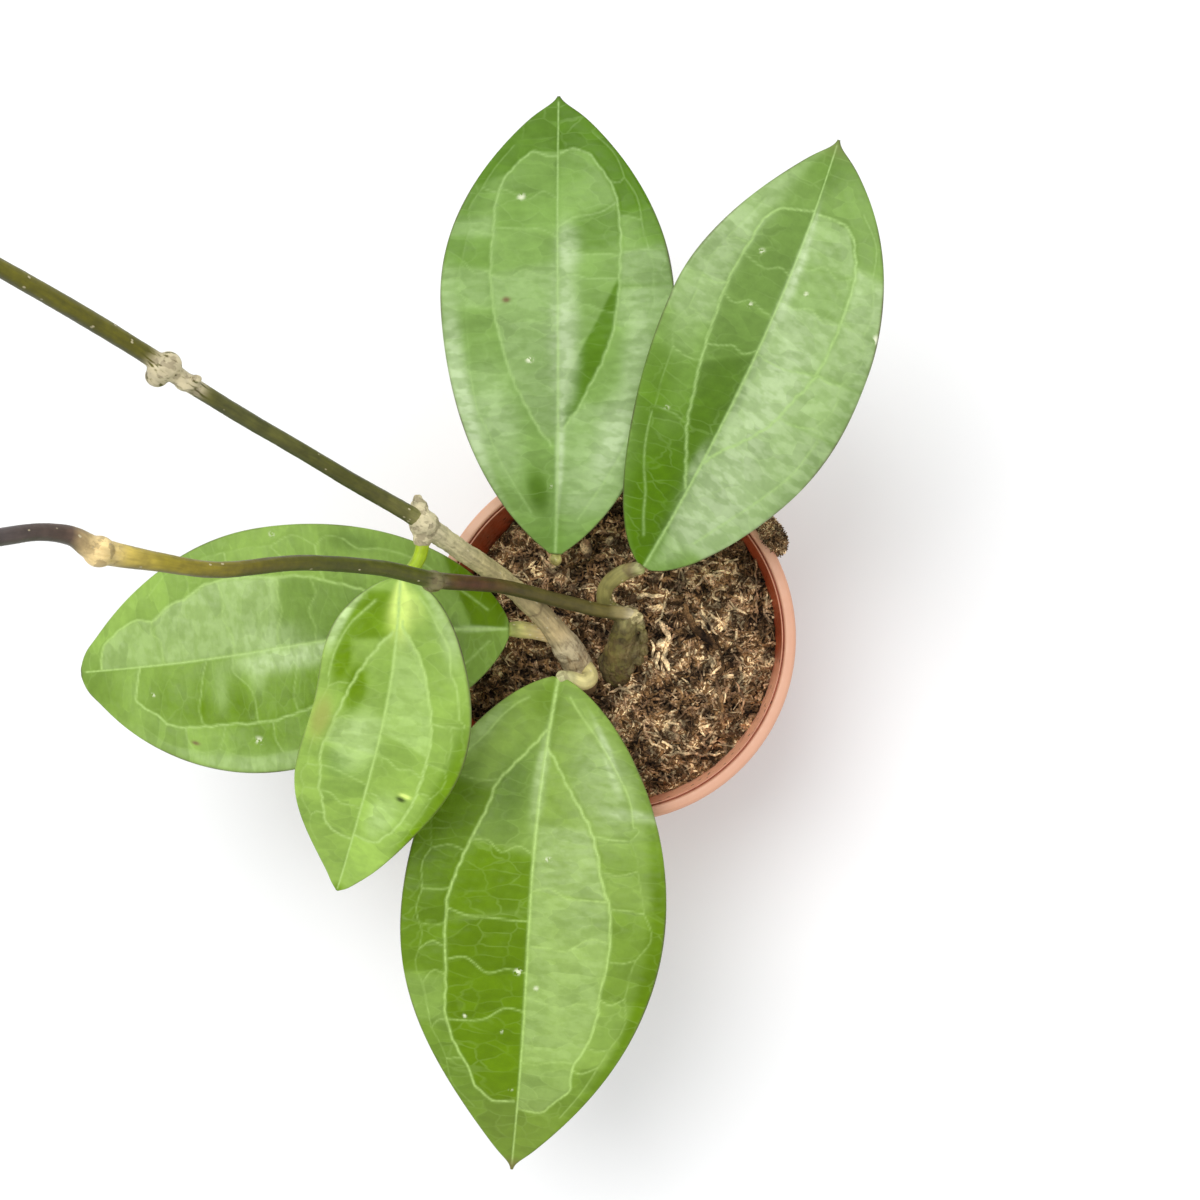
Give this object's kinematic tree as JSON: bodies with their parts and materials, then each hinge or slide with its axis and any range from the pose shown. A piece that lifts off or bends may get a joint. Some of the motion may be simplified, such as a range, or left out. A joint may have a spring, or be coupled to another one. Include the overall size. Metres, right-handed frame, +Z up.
{
  "type": "potted hoya plant",
  "caption": "Hoya plant in a tapered plastic nursery pot, with thick pointed leaves on stout stalks and bare climbing vines.",
  "frame": {"origin": "centre of the pot's underside, on the surface that it stands on", "axes": "+Z up along the pot's axis; +Y towards the top of the picture, where two leaves point; +X to the picture's right"},
  "size_m": [0.2536, 0.3343, 0.348],
  "materials": {
    "pot_plastic": "terracotta-coloured moulded plastic, satin",
    "potting_mix": "loose coir and peat with pale fibres, dry",
    "woody_stem": "grey-tan bark, dull",
    "old_stump": "brown-green rough bark, dull",
    "green_vine": "olive-green living stem, satin",
    "leaf_stalk": "pale yellow-green living stalk, satin",
    "leaf_blade": "thick waxy green leaf, satin to glossy"
  },
  "bodies": {
    "root": {"pot": "pot_plastic", "soil": "potting_mix", "coir_clump": "potting_mix", "stem_a_wood": "woody_stem", "stem_b_wood": "old_stump", "vine_a": "green_vine", "vine_b": "green_vine", "petiole_a": "leaf_stalk", "petiole_b": "leaf_stalk", "petiole_c": "leaf_stalk", "petiole_d": "leaf_stalk", "petiole_e": "leaf_stalk", "leaf_a": "leaf_blade", "leaf_b": "leaf_blade", "leaf_c": "leaf_blade", "leaf_d": "leaf_blade", "leaf_e": "leaf_blade"}
  },
  "joints": []
}
